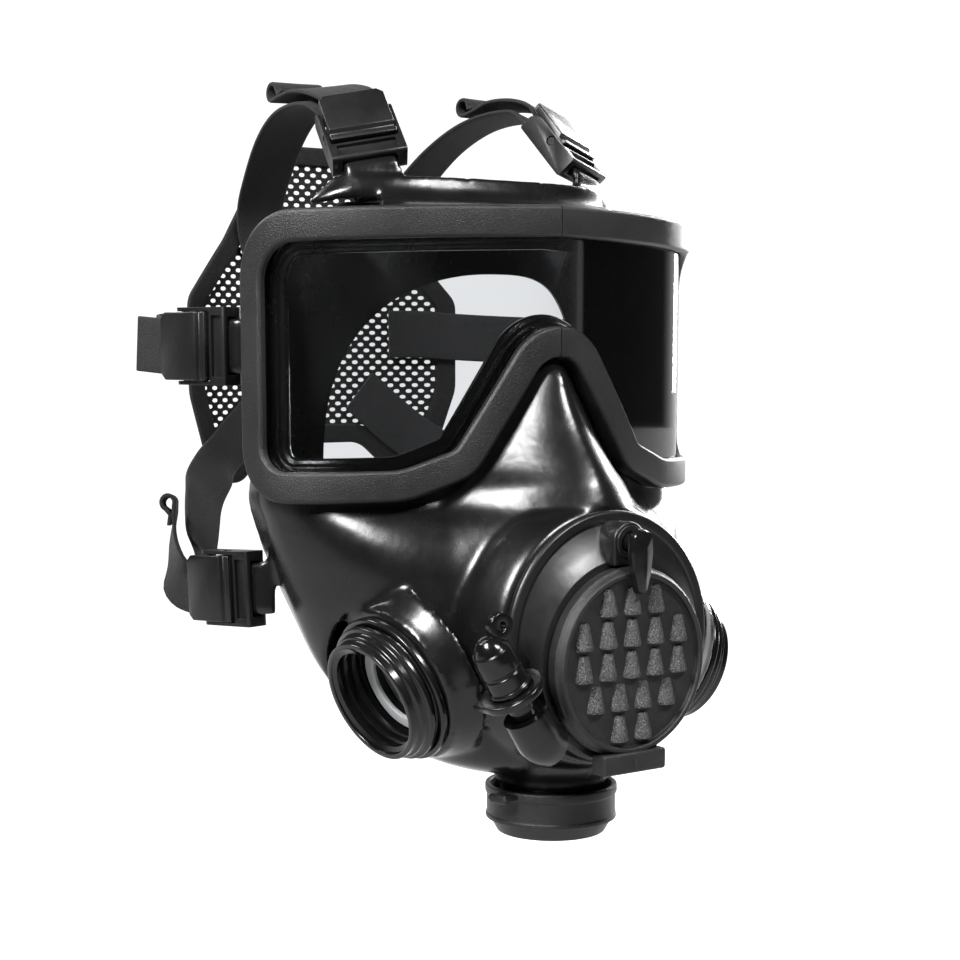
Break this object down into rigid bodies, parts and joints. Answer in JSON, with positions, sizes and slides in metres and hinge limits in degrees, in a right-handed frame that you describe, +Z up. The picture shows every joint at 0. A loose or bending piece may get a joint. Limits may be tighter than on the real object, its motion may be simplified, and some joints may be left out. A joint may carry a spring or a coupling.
{
  "type": "full face respirator",
  "caption": "Full face respirator with a wide curved visor, threaded filter ports, a front exhalation module, a drinking coupling and a strap harness with a mesh head pad.",
  "frame": {"origin": "on the mid-plane, in the plane where the visor frame ends at the temples, level with the wearer's nose", "axes": "+Z up, -Y the way the visor looks, +X towards the wearer's left"},
  "size_m": [0.2264, 0.2187, 0.2777],
  "materials": {
    "rubber": "glossy satin black moulded rubber",
    "frame_plastic": "fine-grained black nylon",
    "lens": "clear polycarbonate with a slight grey tint",
    "gloss_plastic": "glossy black moulded plastic",
    "cover_rubber": "fine-grained matt black rubber",
    "buckle_nylon": "semi-gloss black nylon",
    "webbing": "black elastic webbing",
    "mesh_fabric": "black open mesh",
    "silicone": "pale grey silicone"
  },
  "bodies": {
    "mask": {"visor_lens": "lens", "visor_frame_right": "frame_plastic", "visor_frame_left": "frame_plastic", "facepiece": "rubber", "face_seal": "rubber", "port_insert_right": "gloss_plastic", "port_seat_ring_right": "silicone", "port_clamp_right": "gloss_plastic", "port_insert_left": "gloss_plastic", "port_seat_ring_left": "silicone", "port_clamp_left": "gloss_plastic", "port_insert_chin": "gloss_plastic", "port_seat_ring_chin": "silicone", "module_housing": "frame_plastic", "exhale_valve_seat": "gloss_plastic", "front_cover": "cover_rubber", "coupling_body": "gloss_plastic", "coupling_holder": "gloss_plastic", "drink_hose": "rubber", "nose_cup": "rubber", "buckle_top_right": "buckle_nylon", "buckle_temple_right": "buckle_nylon", "buckle_lower_right": "buckle_nylon", "buckle_top_left": "buckle_nylon", "buckle_temple_left": "buckle_nylon", "buckle_lower_left": "buckle_nylon", "strap_top_right": "webbing", "strap_temple_right": "webbing", "strap_lower_right": "webbing", "strap_top_left": "webbing", "strap_temple_left": "webbing", "strap_lower_left": "webbing", "head_pad": "mesh_fabric", "pad_binding": "webbing"},
    "lever_top_right_body": {"lever_top_right": "buckle_nylon"},
    "lever_temple_right_body": {"lever_temple_right": "buckle_nylon"},
    "lever_lower_right_body": {"lever_lower_right": "buckle_nylon"},
    "lever_top_left_body": {"lever_top_left": "buckle_nylon"},
    "lever_temple_left_body": {"lever_temple_left": "buckle_nylon"},
    "lever_lower_left_body": {"lever_lower_left": "buckle_nylon"},
    "drink_drive": {"drink_lever": "gloss_plastic", "drink_spindle": "gloss_plastic", "drink_mouthpiece": "rubber"},
    "exhale_disc": {"exhale_valve_disc": "silicone"},
    "inhale_disc_right": {"inhale_valve_right": "silicone"},
    "inhale_disc_left": {"inhale_valve_left": "silicone"},
    "inhale_disc_chin": {"inhale_valve_chin": "silicone"},
    "cup_disc_right": {"cup_valve_right": "silicone"},
    "cup_disc_left": {"cup_valve_left": "silicone"},
    "chin_cap_body": {"chin_cap": "cover_rubber"},
    "coupling_cap_body": {"coupling_cap": "gloss_plastic"}
  },
  "joints": [
    {"name": "lever_top_right_hinge", "type": "hinge", "parent": "mask", "child": "lever_top_right_body", "pos_m": [-0.04714, -0.00061, 0.13586], "axis": [0.9076, -0.3828, 0.1724], "range_deg": [0, 75]},
    {"name": "lever_temple_right_hinge", "type": "hinge", "parent": "mask", "child": "lever_temple_right_body", "pos_m": [-0.10063, 0.02066, 0.061], "axis": [0, 0, 1], "range_deg": [0, 75]},
    {"name": "lever_lower_right_hinge", "type": "hinge", "parent": "mask", "child": "lever_lower_right_body", "pos_m": [-0.09173, 0.02153, -0.02645], "axis": [-0.0111, 0.049, 0.9987], "range_deg": [0, 75]},
    {"name": "lever_top_left_hinge", "type": "hinge", "parent": "mask", "child": "lever_top_left_body", "pos_m": [0.04714, -0.00061, 0.13586], "axis": [0.9076, 0.3828, -0.1724], "range_deg": [0, 75]},
    {"name": "lever_temple_left_hinge", "type": "hinge", "parent": "mask", "child": "lever_temple_left_body", "pos_m": [0.10063, 0.02066, 0.061], "axis": [0, 0, -1], "range_deg": [0, 75]},
    {"name": "lever_lower_left_hinge", "type": "hinge", "parent": "mask", "child": "lever_lower_left_body", "pos_m": [0.09173, 0.02153, -0.02645], "axis": [-0.0111, -0.049, -0.9987], "range_deg": [0, 75]},
    {"name": "drink_lever_turn", "type": "hinge", "parent": "mask", "child": "drink_drive", "pos_m": [0, -0.095, -0.0055], "axis": [0, 1, 0], "range_deg": [0, 90]},
    {"name": "exhale_valve_lift", "type": "slide", "parent": "mask", "child": "exhale_disc", "axis": [0, -1, 0], "range_m": [0, 0.002], "stiffness_N_per_m": 30},
    {"name": "inhale_valve_right_lift", "type": "slide", "parent": "mask", "child": "inhale_disc_right", "axis": [0.9348, 0.06, 0.3499], "range_m": [0, 0.002], "stiffness_N_per_m": 30},
    {"name": "inhale_valve_left_lift", "type": "slide", "parent": "mask", "child": "inhale_disc_left", "axis": [-0.9348, 0.06, 0.3499], "range_m": [0, 0.002], "stiffness_N_per_m": 30},
    {"name": "inhale_valve_chin_lift", "type": "slide", "parent": "mask", "child": "inhale_disc_chin", "axis": [0, 0, 1], "range_m": [0, 0.002], "stiffness_N_per_m": 30},
    {"name": "cup_valve_right_lift", "type": "slide", "parent": "mask", "child": "cup_disc_right", "axis": [0.8548, 0.4224, -0.3017], "range_m": [0, 0.0015], "stiffness_N_per_m": 20},
    {"name": "cup_valve_left_lift", "type": "slide", "parent": "mask", "child": "cup_disc_left", "axis": [-0.8548, 0.4224, -0.3017], "range_m": [0, 0.0015], "stiffness_N_per_m": 20},
    {"name": "chin_cap_pull", "type": "slide", "parent": "mask", "child": "chin_cap_body", "axis": [0, 0, -1], "range_m": [0, 0.018]},
    {"name": "coupling_cap_pull", "type": "slide", "parent": "mask", "child": "coupling_cap_body", "axis": [-0.5398, 0, 0.8418], "range_m": [0, 0.014]}
  ]
}
